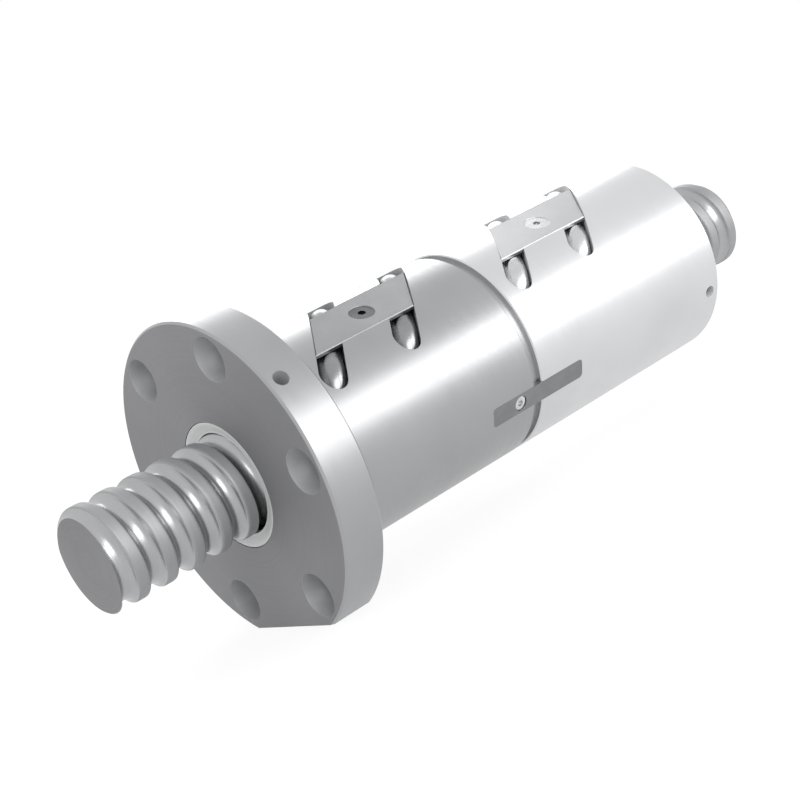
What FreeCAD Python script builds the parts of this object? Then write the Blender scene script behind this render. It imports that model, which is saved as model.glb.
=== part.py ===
"""Double nut ball screw: a flanged front nut and a plain rear nut, clamped apart by a split
spacer and kept in line by a key, on a right hand rolled screw with external return tubes.

Millimetres. +X runs along the screw towards the rear nut and +Z is up. The origin is the
centre of the flange's mounting face, which looks towards the rear nut.
"""
import FreeCAD, Part
import math
import os

Vector = FreeCAD.Vector
ORIGIN = Vector(0, 0, 0)
X_AXIS = Vector(1, 0, 0)
Y_AXIS = Vector(0, 1, 0)
Z_AXIS = Vector(0, 0, 1)

# Screw and ball track
screw_dia = 40.0
lead = 12.0
ball_dia = 7.144
ball_circle_dia = 41.6
track_clearance = 0.16
groove_edge_chamfer = 0.7
screw_front_reach = 79.5
screw_rear_reach = 257.5
screw_end_chamfer = 0.6

# Small screws
screw_hole_clearance = 0.2
blind_hole_allowance = 1.0

# Flange
flange_dia = 128.0
flange_thickness = 18.0
flange_flat_depth = 6.3
flange_chamfer = 0.8
bolt_from_rim = 11.0
bolt_count = 6
bolt_hole_dia = 11.0
counterbore_dia = 17.5
counterbore_depth = 11.0

# Nut bodies
body_dia = 86.0
body_chamfer = 1.0
front_body_length = 99.4
rear_body_length = 109.8
nut_bore_dia = 41.2

# Grease port on the flange rim
port_angle = 150.0
port_from_front = 6.0
port_thread_dia = 6.0
port_thread_depth = 11.0
port_duct_dia = 3.0
port_duct_x = 6.0

# Ball circuits: each has its return tube across the nut
circuit_turn_count = 2.5
circuit_count = 2
circuit_spacing_count = 3
first_leg_x = 19.4
pocket_wall = 3.0
pocket_angle = 120.0
track_ball_count = 45
tube_ball_count = 15

# Return tubes
tube_dia = 9.6
tube_wall = 0.9
tube_bend_radius = 9.0
tube_seat_clearance = 0.05
plate_to_tube = 0.2
slot_clearance = 0.4

# Tube clamps
clamp_width = 22.4
clamp_thickness = 1.5
clamp_top_sink = 1.4
clamp_edge_chamfer = 0.35
clamp_side_clearance = 0.1
clamp_screw_dia = 5.0
clamp_screw_head_dia = 10.0
clamp_screw_length = 12.0
clamp_screw_sink = 0.2
clamp_screw_socket = 3.0
clamp_screw_socket_depth = 1.6
dimple_depth_in_seat = 0.5

# Spacer between the nuts
spacer_thickness = 4.0
spacer_dia = 82.0
spacer_bore_dia = 52.0
spacer_split_gap = 0.5

# Alignment key
key_angle = 210.0
key_length = 50.0
key_width = 8.0
key_height = 5.0
key_top_sink = 0.15
key_corner_round = 1.6
key_side_clearance = 0.05
key_screw_from_centre = 9.9
key_screw_dia = 3.0
key_screw_head_dia = 5.5
key_screw_head_height = 3.0
key_screw_sink = 0.4
key_screw_length = 10.0
key_screw_socket = 2.5
key_screw_head_clearance = 0.25

# Wipers
wiper_dia = 50.0
wiper_gap = 0.3
wiper_face_sink = 0.1
wiper_lip_depth = 1.4
wiper_lip_width = 0.9
wiper_edge_chamfer = 0.4
wiper_bore_clearance = 0.35
front_wiper_thickness = 4.6
snap_bead_height = 1.0
snap_bead_width = 1.4
rear_wiper_thickness = 9.2
wiper_groove_depth = 1.0
wiper_groove_width = 5.4
grub_dia = 5.0
grub_from_rear = 6.2
grub_top_sink = 2.7
grub_socket = 2.5
grub_socket_depth = 2.5
grub_tip_dia = 3.5
grub_tip_length = 2.0
grub_angles = (key_angle, key_angle - 180.0)

# Worked out from the sizes above
screw_r = screw_dia / 2
ball_r = ball_dia / 2
ball_circle_r = ball_circle_dia / 2
track_r = ball_r + track_clearance
nut_bore_r = nut_bore_dia / 2
body_r = body_dia / 2
flange_r = flange_dia / 2
flange_flat_distance = flange_r - flange_flat_depth
bolt_circle_r = flange_r - bolt_from_rim
flange_front_x = -flange_thickness
front_end_x = front_body_length
rear_start_x = front_end_x + spacer_thickness
rear_end_x = rear_start_x + rear_body_length
clamp_top_height = body_r - clamp_top_sink
leg_rise_x = circuit_turn_count * lead
tube_r = tube_dia / 2
tube_bore_r = tube_r - tube_wall
clamp_seat_height = clamp_top_height - clamp_thickness
crossing_height = clamp_seat_height - plate_to_tube - tube_r
slot_half_width = tube_r + slot_clearance
slot_floor = crossing_height - slot_half_width
crossing_slope = leg_rise_x / ball_circle_dia
slot_half_x = slot_half_width * math.hypot(1.0, crossing_slope)
clamp_length = (circuit_count - 1) * circuit_spacing_count * lead + 2 * slot_half_x
rear_nut_offset_count = math.ceil((rear_start_x + pocket_wall + slot_half_width - first_leg_x) / lead)
wiper_r = wiper_dia / 2
wiper_recess_r = wiper_r + wiper_gap
wiper_bore_r = screw_r + wiper_bore_clearance
key_top = body_r - key_top_sink
key_bottom = key_top - key_height
key_centre_x = (front_end_x + rear_start_x) / 2
key_screw_x = key_centre_x - key_screw_from_centre
cut_past = 3.0
sewing_tolerance = 0.001


def at_angle(x, radius, degrees):
    """Point at an axial place, a distance from the axis and an angle from +Y towards +Z."""
    angle = math.radians(degrees)
    return Vector(x, radius * math.cos(angle), radius * math.sin(angle))


def revolved(points):
    """Solid from a closed outline of (x, radius) points, turned about the screw axis.

    The outline lies on the -Y side, so that the seam keeps clear of the tube pockets.
    """
    outline = [Vector(x, -radius, 0) for x, radius in points]
    face = Part.Face(Part.makePolygon(outline + outline[:1]))
    return face.revolve(ORIGIN, X_AXIS, 360)


def rod(radius, start, end):
    """Cylinder between two points."""
    direction = end.sub(start)
    return Part.makeCylinder(radius, direction.Length, start, direction)


def cone(radius_low, radius_high, start, end):
    """Truncated cone between two points."""
    direction = end.sub(start)
    return Part.makeCone(radius_low, radius_high, direction.Length, start, direction)


def raised(shape, degrees):
    """Turn a shape drawn with +Z outwards so that it faces outwards at an angle."""
    turned = shape.copy()
    turned.rotate(ORIGIN, X_AXIS, degrees - 90)
    return turned


def hexagon_bar(across_flats, start, end):
    """Hexagonal bar between two points on a line along Z."""
    corner_r = across_flats / math.sqrt(3)
    corners = []
    for step in range(6):
        angle = math.radians(60 * step)
        corners.append(start.add(Vector(corner_r * math.cos(angle), corner_r * math.sin(angle), 0)))
    face = Part.Face(Part.makePolygon(corners + corners[:1]))
    return face.extrude(end.sub(start))


def track_angle(x):
    """Angle of the ball track's centre at an axial place, for a right hand thread."""
    return pocket_angle + 90 + 360 * (x - first_leg_x) / lead


def track_point(radius, z):
    """Point of a track profile: distance from the axis and axial offset from the track."""
    return Vector(radius, 0, z)


def screw_profile():
    """One lead of the screw's surface: two half lands, broken edges and the ball track."""
    floor_r = ball_circle_r - track_r
    edge_r = screw_r - groove_edge_chamfer / 2
    edge_z = math.sqrt(track_r ** 2 - (ball_circle_r - edge_r) ** 2)
    land_z = edge_z + groove_edge_chamfer
    half = lead / 2
    return [
        Part.LineSegment(track_point(screw_r, -half), track_point(screw_r, -land_z)),
        Part.LineSegment(track_point(screw_r, -land_z), track_point(edge_r, -edge_z)),
        Part.Arc(track_point(edge_r, -edge_z), track_point(floor_r, 0), track_point(edge_r, edge_z)),
        Part.LineSegment(track_point(edge_r, edge_z), track_point(screw_r, land_z)),
        Part.LineSegment(track_point(screw_r, land_z), track_point(screw_r, half)),
    ]


def nut_profile():
    """One lead of a nut bore's surface: two half lands and the ball track."""
    edge_z = math.sqrt(track_r ** 2 - (ball_circle_r - nut_bore_r) ** 2)
    top_r = ball_circle_r + track_r
    half = lead / 2
    return [
        Part.LineSegment(track_point(nut_bore_r, -half), track_point(nut_bore_r, -edge_z)),
        Part.Arc(track_point(nut_bore_r, -edge_z), track_point(top_r, 0), track_point(nut_bore_r, edge_z)),
        Part.LineSegment(track_point(nut_bore_r, edge_z), track_point(nut_bore_r, half)),
    ]


def threaded_bar(profile, blank):
    """Bar with a threaded surface: a plain blank, thicker than the thread, is split along one
    lead of surface, swept once round the axis and repeated every lead."""
    x_start = blank.BoundBox.XMin - 1.5 * lead
    turns = math.ceil(blank.BoundBox.XLength / lead) + 3
    wire = Part.Wire([edge.toShape() for edge in profile])
    turn = Part.Wire(Part.makeHelix(lead, lead, ball_circle_r)).makePipeShell([wire], False, True)
    turn.rotate(ORIGIN, Y_AXIS, 90)
    turn.rotate(ORIGIN, X_AXIS, track_angle(x_start) + 90)
    turn.fixTolerance(sewing_tolerance)
    faces = []
    for index in range(turns):
        copy = turn.copy()
        copy.translate(Vector(x_start + index * lead, 0, 0))
        faces += copy.Faces
    skin = Part.makeShell(faces)
    skin.sewShape()
    pieces = blank.generalFuse([skin])[0].Solids
    middle = Vector(blank.BoundBox.Center.x, 0, 0)
    return next(piece for piece in pieces if piece.isInside(middle, sewing_tolerance, False))


def nut_core(x_start, x_end):
    """Plug in the shape of a nut's threaded bore, between two axial places."""
    blank_r = ball_circle_r + track_r + 1
    return threaded_bar(nut_profile(), rod(blank_r, Vector(x_start, 0, 0), Vector(x_end, 0, 0)))


def circuit_leg_x(nut_index, circuit_index):
    """Axial place of a circuit's leg on the key side of its pocket."""
    leads = nut_index * rear_nut_offset_count + circuit_index * circuit_spacing_count
    return first_leg_x + leads * lead


def tube_corners(leg_x):
    """Return tube centre line corners, drawn with +Z out of the pocket."""
    side = ball_circle_r
    return [
        Vector(leg_x, -side, 0),
        Vector(leg_x, -side, crossing_height),
        Vector(leg_x + leg_rise_x, side, crossing_height),
        Vector(leg_x + leg_rise_x, side, 0),
    ]


def tube_pieces(leg_x):
    """The tube's centre line as straight runs and tangent bends, in order."""
    corners = tube_corners(leg_x)
    pieces = []
    start = corners[0]
    for before, corner, after in zip(corners, corners[1:], corners[2:]):
        into = corner.sub(before).normalize()
        out = after.sub(corner).normalize()
        turn = into.getAngle(out)
        tangent = tube_bend_radius * math.tan(turn / 2)
        bend_start = corner.sub(into * tangent)
        bend_end = corner.add(out * tangent)
        inward = out.sub(into).normalize()
        centre = corner.add(inward * (tube_bend_radius / math.cos(turn / 2)))
        bend_middle = centre.sub(inward * tube_bend_radius)
        pieces.append(Part.LineSegment(start, bend_start).toShape())
        pieces.append(Part.Arc(bend_start, bend_middle, bend_end).toShape())
        start = bend_end
    pieces.append(Part.LineSegment(start, corners[-1]).toShape())
    return pieces


def along_tube(leg_x, radius):
    """Round bar that follows a return tube's centre line."""
    section = Part.Wire(Part.makeCircle(radius, tube_corners(leg_x)[0], Z_AXIS))
    return Part.Wire(tube_pieces(leg_x)).makePipeShell([section], True, False)


def tube_slot(leg_x):
    """Round ended slot, milled across the nut for one tube."""
    corners = tube_corners(leg_x)
    height = body_r + cut_past - slot_floor
    start = Vector(leg_x, -ball_circle_r, slot_floor)
    across = corners[2].sub(corners[1])
    side = Vector(-across.y, across.x, 0).normalize() * slot_half_width
    run = [start.add(side), start.sub(side), start.sub(side).add(across), start.add(side).add(across)]
    bar = Part.Face(Part.makePolygon(run + run[:1])).extrude(Z_AXIS * height)
    ends = [
        Part.makeCylinder(slot_half_width, height, start, Z_AXIS),
        Part.makeCylinder(slot_half_width, height, start.add(across), Z_AXIS),
    ]
    return bar.fuse(ends)


def clamp_outline(nut_index, growth, height, thickness):
    """Skewed plate outline between the two outer slot walls, at a height and thickness."""
    middle_x = (circuit_leg_x(nut_index, 0) + circuit_leg_x(nut_index, circuit_count - 1) + leg_rise_x) / 2
    half_y = clamp_width / 2 + growth
    half_x = clamp_length / 2 + growth
    corners = []
    for y, side in ((-half_y, -1), (-half_y, 1), (half_y, 1), (half_y, -1)):
        corners.append(Vector(middle_x + crossing_slope * y + side * half_x, y, height))
    face = Part.Face(Part.makePolygon(corners + corners[:1]))
    return face.extrude(Z_AXIS * thickness), Vector(middle_x, 0, 0)


def clamp_screw_heights():
    """Top of the clamp screw's head and the height where its cone ends."""
    top = clamp_top_height - clamp_screw_sink
    return top, top - (clamp_screw_head_dia - clamp_screw_dia) / 2


def dimple_cone(growth, middle, low, high):
    """Ninety degree cone that keeps a distance outside the clamp screw's head."""
    top, _ = clamp_screw_heights()
    head_r = clamp_screw_head_dia / 2 + growth
    return cone(head_r - (top - low), head_r - (top - high), middle + Z_AXIS * low, middle + Z_AXIS * high)


def pocket_cutters(nut_index):
    """Everything that is milled and drilled in a nut for its tubes and their clamp."""
    cutters = []
    for circuit_index in range(circuit_count):
        leg_x = circuit_leg_x(nut_index, circuit_index)
        cutters.append(tube_slot(leg_x))
        cutters.append(along_tube(leg_x, tube_r + tube_seat_clearance))
    depth = body_r + cut_past - clamp_seat_height
    recess, middle = clamp_outline(nut_index, clamp_side_clearance, clamp_seat_height, depth)
    cutters.append(recess)
    top, neck = clamp_screw_heights()
    seat = clamp_thickness + tube_seat_clearance
    cutters.append(dimple_cone(seat, middle, neck, clamp_seat_height + dimple_depth_in_seat))
    hole_end = top - clamp_screw_length - blind_hole_allowance
    cutters.append(rod(clamp_screw_dia / 2, middle + Z_AXIS * hole_end, middle + Z_AXIS * clamp_seat_height))
    return [raised(cutter, pocket_angle) for cutter in cutters]


def key_block(growth, low, high):
    """Round cornered bar along the key, between two heights, drawn with +Z outwards."""
    half_x = key_length / 2 + growth
    half_y = key_width / 2 + growth
    bar = Part.makeBox(2 * half_x, 2 * half_y, high - low, Vector(key_centre_x - half_x, -half_y, low))
    upright = [edge for edge in bar.Edges if abs(edge.tangentAt(edge.FirstParameter).z) > 0.9]
    return bar.makeFillet(key_corner_round, upright)


def keyway_cutter():
    """Keyway through both nuts and the spacer."""
    return raised(key_block(key_side_clearance, key_bottom, body_r + cut_past), key_angle)


def key_screw_cutter():
    """Blind hole for the key's screw."""
    top = key_top - key_screw_sink - key_screw_head_height
    middle = Vector(key_screw_x, 0, 0)
    end = middle + Z_AXIS * (top - key_screw_length - blind_hole_allowance)
    return raised(rod(key_screw_dia / 2, end, middle + Z_AXIS * (key_bottom + cut_past)), key_angle)


def front_nut():
    """Flanged nut."""
    chamfer = flange_chamfer
    body = revolved([
        (flange_front_x, 0),
        (flange_front_x, flange_r - chamfer),
        (flange_front_x + chamfer, flange_r),
        (-chamfer, flange_r),
        (0, flange_r - chamfer),
        (0, body_r),
        (front_end_x - body_chamfer / 2, body_r),
        (front_end_x, body_r - body_chamfer / 2),
        (front_end_x, 0),
    ])
    recess_x = flange_front_x + wiper_face_sink + front_wiper_thickness + wiper_gap
    bead_x = flange_front_x + wiper_face_sink + front_wiper_thickness / 2
    groove_half = snap_bead_width / 2 + wiper_gap
    groove_r = wiper_r + snap_bead_height + wiper_gap
    slope = snap_bead_height
    bore = revolved([
        (flange_front_x - cut_past, 0),
        (flange_front_x - cut_past, wiper_recess_r),
        (bead_x - groove_half - slope / 2, wiper_recess_r),
        (bead_x - groove_half, groove_r),
        (bead_x + groove_half, groove_r),
        (bead_x + groove_half + slope / 2, wiper_recess_r),
        (recess_x, wiper_recess_r),
        (recess_x, 0),
    ])
    flat = Part.makeBox(
        flange_thickness, flange_dia, flange_dia,
        Vector(flange_front_x, -flange_r, -flange_flat_distance - flange_dia),
    )
    body = body.cut([bore, flat]).cut(nut_core(recess_x - 1, front_end_x + 1))
    cutters = [keyway_cutter(), key_screw_cutter()]
    for step in range(bolt_count):
        angle = 360 * step / bolt_count
        front = at_angle(flange_front_x - cut_past, bolt_circle_r, angle)
        shoulder = at_angle(flange_front_x + counterbore_depth, bolt_circle_r, angle)
        back = at_angle(cut_past, bolt_circle_r, angle)
        cutters.append(rod(counterbore_dia / 2, front, shoulder))
        cutters.append(rod(bolt_hole_dia / 2, shoulder, back))
    port_x = flange_front_x + port_from_front
    thread_end = at_angle(port_x, flange_r - port_thread_depth, port_angle)
    cutters.append(rod(port_thread_dia / 2, thread_end, at_angle(port_x, flange_r + cut_past, port_angle)))
    duct_end = at_angle(port_duct_x, ball_circle_r, port_angle)
    cutters.append(rod(port_duct_dia / 2, duct_end, thread_end))
    return body.cut(cutters + pocket_cutters(0))


def grub_places():
    """Rear wiper grub screw angles and their axial place."""
    return [(angle, rear_end_x - grub_from_rear) for angle in grub_angles]


def rear_nut():
    """Plain nut behind the spacer."""
    body = revolved([
        (rear_start_x, 0),
        (rear_start_x, body_r - body_chamfer / 2),
        (rear_start_x + body_chamfer / 2, body_r),
        (rear_end_x - body_chamfer, body_r),
        (rear_end_x, body_r - body_chamfer),
        (rear_end_x, 0),
    ])
    recess_x = rear_end_x - wiper_face_sink - rear_wiper_thickness - wiper_gap
    bore = revolved([
        (recess_x, 0),
        (recess_x, wiper_recess_r),
        (rear_end_x + cut_past, wiper_recess_r),
        (rear_end_x + cut_past, 0),
    ])
    body = body.cut(bore).cut(nut_core(rear_start_x - 1, recess_x + 1))
    cutters = [keyway_cutter()]
    for angle, x in grub_places():
        cutters.append(rod(grub_dia / 2, at_angle(x, nut_bore_r, angle), at_angle(x, body_r + cut_past, angle)))
    return body.cut(cutters + pocket_cutters(1))


def spacer_half(side):
    """Half of the split spacer: side is 1 above the split and -1 below it."""
    ring = revolved([
        (front_end_x, spacer_bore_dia / 2),
        (front_end_x, spacer_dia / 2),
        (rear_start_x, spacer_dia / 2),
        (rear_start_x, spacer_bore_dia / 2),
    ])
    reach = spacer_dia
    low = Vector(front_end_x, spacer_split_gap / 2 if side > 0 else -spacer_split_gap / 2 - reach, -reach)
    half = Part.makeBox(spacer_thickness, reach, 2 * reach, low)
    return ring.common(raised(half, key_angle)).cut(keyway_cutter())


def alignment_key():
    """Key that keeps the two nuts in line."""
    block = key_block(0, key_bottom, key_top)
    middle = Vector(key_screw_x, 0, 0)
    floor = key_top - key_screw_sink - key_screw_head_height
    above = middle + Z_AXIS * (key_top + cut_past)
    below = middle + Z_AXIS * (key_bottom - cut_past)
    head_hole = rod(key_screw_head_dia / 2 + key_screw_head_clearance, middle + Z_AXIS * floor, above)
    hole = rod(key_screw_dia / 2 + screw_hole_clearance, below, above)
    return raised(block.cut([head_hole, hole]), key_angle)


def socket_screw(shank_r, shank_length, head_r, head_height, socket):
    """Cylinder head screw with its head's underside at the origin, pointing down."""
    shank = rod(shank_r, Vector(0, 0, -shank_length), ORIGIN)
    head = rod(head_r, ORIGIN, Vector(0, 0, head_height))
    recess = hexagon_bar(socket, Vector(0, 0, head_height / 2), Vector(0, 0, head_height + 1))
    return shank.fuse(head).cut(recess)


def key_screw():
    """Screw that holds the key to the front nut."""
    screw = socket_screw(
        key_screw_dia / 2, key_screw_length, key_screw_head_dia / 2, key_screw_head_height, key_screw_socket
    )
    screw.translate(Vector(key_screw_x, 0, key_top - key_screw_sink - key_screw_head_height))
    return raised(screw, key_angle)


def return_tube(nut_index, circuit_index):
    """Tube that takes the balls back across a circuit, with its ends scooped to the bore."""
    leg_x = circuit_leg_x(nut_index, circuit_index)
    tube = along_tube(leg_x, tube_r).cut(along_tube(leg_x, tube_bore_r))
    tube = raised(tube, pocket_angle)
    reach = clamp_length + leg_rise_x
    bore = rod(nut_bore_r, Vector(leg_x - reach, 0, 0), Vector(leg_x + reach, 0, 0))
    return tube.cut(bore)


def tube_clamp(nut_index):
    """Plate that holds two tubes down, dimpled for its countersunk screw."""
    plate, middle = clamp_outline(nut_index, 0, clamp_seat_height, clamp_thickness)
    top_edges = [edge for edge in plate.Edges if edge.BoundBox.ZMin > clamp_top_height - 0.01]
    plate = plate.makeChamfer(clamp_edge_chamfer, top_edges)
    top, neck = clamp_screw_heights()
    plate = plate.fuse(dimple_cone(clamp_thickness, middle, neck, clamp_seat_height + dimple_depth_in_seat))
    cone_hole = dimple_cone(0, middle, neck, top + cut_past)
    hole = rod(clamp_screw_dia / 2 + screw_hole_clearance, middle + Z_AXIS * (neck - cut_past), middle + Z_AXIS * top)
    return raised(plate.cut([cone_hole, hole]), pocket_angle)


def clamp_screw(nut_index):
    """Countersunk screw in the middle of a tube clamp."""
    _, middle = clamp_outline(nut_index, 0, 0, 1)
    top, neck = clamp_screw_heights()
    head = cone(clamp_screw_dia / 2, clamp_screw_head_dia / 2, middle + Z_AXIS * neck, middle + Z_AXIS * top)
    shank = rod(clamp_screw_dia / 2, middle + Z_AXIS * (top - clamp_screw_length), middle + Z_AXIS * neck)
    socket_floor = top - clamp_screw_socket_depth
    recess = hexagon_bar(clamp_screw_socket, middle + Z_AXIS * socket_floor, middle + Z_AXIS * (top + 1))
    return raised(head.fuse(shank).cut(recess), pocket_angle)


def ball_circuit(nut_index, circuit_index):
    """Balls of one closed circuit, evenly spaced round its track and through its tube."""
    leg_x = circuit_leg_x(nut_index, circuit_index)
    centres = []
    for index in range(track_ball_count + 1):
        x = leg_x + leg_rise_x * index / track_ball_count
        centres.append(at_angle(x, ball_circle_r, track_angle(x)))
    tube = Part.Wire([raised(piece, pocket_angle) for piece in tube_pieces(leg_x)])
    centres += tube.discretize(Number=tube_ball_count + 1)[1:-1]
    return Part.makeCompound([Part.makeSphere(ball_r, centre) for centre in centres])


def front_wiper():
    """Snap-in wiper ring in the flange's front face."""
    face_x = flange_front_x + wiper_face_sink
    inner_x = face_x + front_wiper_thickness
    bead_x = (face_x + inner_x) / 2
    bead_half = snap_bead_width / 2
    slope = snap_bead_height / 2
    return revolved([
        (face_x, wiper_r),
        (bead_x - bead_half - slope, wiper_r),
        (bead_x - bead_half, wiper_r + snap_bead_height),
        (bead_x + bead_half, wiper_r + snap_bead_height),
        (bead_x + bead_half + slope, wiper_r),
        (inner_x, wiper_r),
        (inner_x, wiper_bore_r),
        (face_x + wiper_lip_depth, wiper_bore_r),
        (face_x + wiper_lip_depth, wiper_bore_r + wiper_lip_width),
        (face_x, wiper_r - wiper_edge_chamfer),
    ])


def rear_wiper():
    """Wiper ring in the rear nut, with a groove for the grub screws' tips."""
    face_x = rear_end_x - wiper_face_sink
    inner_x = face_x - rear_wiper_thickness
    groove_x = rear_end_x - grub_from_rear
    groove_half = wiper_groove_width / 2
    return revolved([
        (face_x, wiper_r),
        (groove_x + groove_half, wiper_r),
        (groove_x + groove_half, wiper_r - wiper_groove_depth),
        (groove_x - groove_half, wiper_r - wiper_groove_depth),
        (groove_x - groove_half, wiper_r),
        (inner_x, wiper_r),
        (inner_x, wiper_bore_r),
        (face_x - wiper_lip_depth, wiper_bore_r),
        (face_x - wiper_lip_depth, wiper_bore_r + wiper_lip_width),
        (face_x, wiper_r - wiper_edge_chamfer),
    ])


def grub_screw(angle, x):
    """Dog point grub screw that traps the rear wiper."""
    tip = wiper_r - wiper_groove_depth + wiper_gap
    shoulder = tip + grub_tip_length
    top = body_r - grub_top_sink
    middle = Vector(x, 0, 0)
    body = rod(grub_dia / 2, middle + Z_AXIS * shoulder, middle + Z_AXIS * top)
    point = rod(grub_tip_dia / 2, middle + Z_AXIS * tip, middle + Z_AXIS * shoulder)
    recess = hexagon_bar(grub_socket, middle + Z_AXIS * (top - grub_socket_depth), middle + Z_AXIS * (top + 1))
    return raised(body.fuse(point).cut(recess), angle)


def screw_shaft():
    """Screw with its ball track cut from end to end and its two ends chamfered."""
    end_r = screw_r - screw_end_chamfer
    blank_r = screw_r + cut_past
    cone_length = blank_r - end_r
    blank = revolved([
        (-screw_front_reach, 0),
        (-screw_front_reach, end_r),
        (-screw_front_reach + cone_length, blank_r),
        (screw_rear_reach - cone_length, blank_r),
        (screw_rear_reach, end_r),
        (screw_rear_reach, 0),
    ])
    return threaded_bar(screw_profile(), blank)


def all_parts():
    """Node names and their shapes."""
    parts = {
        "front_nut": front_nut(),
        "rear_nut": rear_nut(),
        "spacer_half_upper": spacer_half(1),
        "spacer_half_lower": spacer_half(-1),
        "alignment_key": alignment_key(),
        "key_screw": key_screw(),
        "front_wiper": front_wiper(),
        "rear_wiper": rear_wiper(),
        "screw_shaft": screw_shaft(),
    }
    for nut_index, nut in enumerate(("front", "rear")):
        parts[f"{nut}_tube_clamp"] = tube_clamp(nut_index)
        parts[f"{nut}_clamp_screw"] = clamp_screw(nut_index)
        for circuit_index in range(circuit_count):
            place = circuit_index + 1
            parts[f"{nut}_return_tube_{place}"] = return_tube(nut_index, circuit_index)
            parts[f"{nut}_ball_circuit_{place}"] = ball_circuit(nut_index, circuit_index)
    for place, (angle, x) in enumerate(grub_places(), start=1):
        parts[f"rear_wiper_grub_screw_{place}"] = grub_screw(angle, x)
    return parts


def main():
    """Build every part and write one STEP file for each."""
    os.makedirs("parts", exist_ok=True)
    for name, shape in all_parts().items():
        print(f"{name}: {len(shape.Solids)} solid(s), {shape.Volume:.1f} mm3, valid {shape.isValid()}")
        shape.exportStep(f"parts/{name}.step")


main()
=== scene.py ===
"""Looks of the double nut ball screw: ground nuts, rolled screw, tubes, clamps, key and wipers.

Metres, in the row frame: +X runs along the screw towards the rear nut and +Z is up.
"""

import logging
import math
from dataclasses import dataclass, field
from enum import Enum
from typing import Any, Sequence

import bmesh
import bpy
import numpy as np
from mathutils import Matrix, Vector


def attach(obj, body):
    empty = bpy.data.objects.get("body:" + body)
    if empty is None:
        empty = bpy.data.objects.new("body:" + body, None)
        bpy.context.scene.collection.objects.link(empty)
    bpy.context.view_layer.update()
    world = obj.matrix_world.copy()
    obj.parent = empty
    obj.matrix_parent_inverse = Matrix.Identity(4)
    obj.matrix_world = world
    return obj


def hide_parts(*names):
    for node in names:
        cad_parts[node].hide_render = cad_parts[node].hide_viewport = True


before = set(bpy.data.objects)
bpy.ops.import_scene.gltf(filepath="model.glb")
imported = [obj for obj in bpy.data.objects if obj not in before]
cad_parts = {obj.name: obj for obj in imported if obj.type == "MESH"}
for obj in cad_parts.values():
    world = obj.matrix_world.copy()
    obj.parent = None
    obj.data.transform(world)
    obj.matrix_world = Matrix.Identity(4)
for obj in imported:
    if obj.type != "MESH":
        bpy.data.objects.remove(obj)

MM = 0.001
LOG = logging.getLogger("ball_screw")
Colour = tuple[float, float, float, float]
WHITE: Colour = (1.0, 1.0, 1.0, 1.0)

# Metres within which two points are one, a point lies on a cut, and a point lies in an end plane.
SAME_POINT = 1e-6
ON_CUT = 1e-7
IN_END_PLANE = 1e-5

# Noise values where the oil film starts and where it covers the metal, and the detail of the noise.
FILM_START, FILM_FULL, FILM_DETAIL = 0.35, 0.7, 3.0
# Noise values of the smoothest and the roughest tool mark, and the detail of the noise.
LINE_LOW, LINE_HIGH, LINE_DETAIL = 0.3, 0.7, 2.0

# A face is taken as turned when its normal points round the axis by less than the first share and away
# from the axis by more than the second, its corners fit its slope, and it lies near a turned radius.
TURNED_SIDEWAYS, TURNED_OUTWARDS = 0.06, 0.3
TURNED_FIT_MM, TURNED_NEAR_MM = 0.12, 0.4
NOT_ZERO = 1e-9


class Body(Enum):
    """Moving bodies of the model."""

    NUTS = "nut_assembly"
    WIPERS = "wiper_rings"
    SCREW = "screw"


class Lay(Enum):
    """Direction that a tool left its marks in."""

    ROUND_AXIS = "round the screw axis"
    ALONG_AXIS = "along the screw axis"
    NONE = "no direction"


def linear(code: str) -> Colour:
    """Turn an sRGB hex colour into a linear one.

    Args:
        code: Colour written as #RRGGBB.

    Returns:
        Linear red, green, blue and full alpha.
    """
    channels = [int(code[at:at + 2], 16) / 255 for at in (1, 3, 5)]
    red, green, blue = (c / 12.92 if c <= 0.04045 else ((c + 0.055) / 1.055) ** 2.4 for c in channels)
    return red, green, blue, 1.0


def add_node(
    tree: bpy.types.NodeTree,
    kind: str,
    settings: dict[str, Any] | None = None,
    inputs: dict[str | int, Any] | None = None,
) -> bpy.types.Node:
    """Add a node with its settings, values and links.

    Args:
        tree: Tree that gets the node.
        kind: Blender's type name of the node.
        settings: Attributes of the node.
        inputs: Values, or sockets to link from, by input name or number.

    Returns:
        The new node.
    """
    node = tree.nodes.new(kind)
    for name, value in (settings or {}).items():
        setattr(node, name, value)
    for socket, value in (inputs or {}).items():
        if isinstance(value, bpy.types.NodeSocket):
            tree.links.new(value, node.inputs[socket])
        else:
            node.inputs[socket].default_value = value
    return node


def maths(tree: bpy.types.NodeTree, operation: str, *values: Any) -> bpy.types.NodeSocket:
    """Add a Math node.

    Args:
        tree: Tree that gets the node.
        operation: Blender's name of the operation.
        values: Values, or sockets to link from, in the node's order.

    Returns:
        Socket of the result.
    """
    return add_node(tree, "ShaderNodeMath", {"operation": operation}, dict(enumerate(values))).outputs[0]


def new_material(name: str) -> tuple[bpy.types.Material, bpy.types.NodeTree, bpy.types.Node]:
    """Make a material with the standard shader in it.

    Args:
        name: Material's name.

    Returns:
        The material, its node tree and its shader node.
    """
    material = bpy.data.materials.new(name)
    material.use_nodes = True
    return material, material.node_tree, material.node_tree.nodes["Principled BSDF"]


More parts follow.
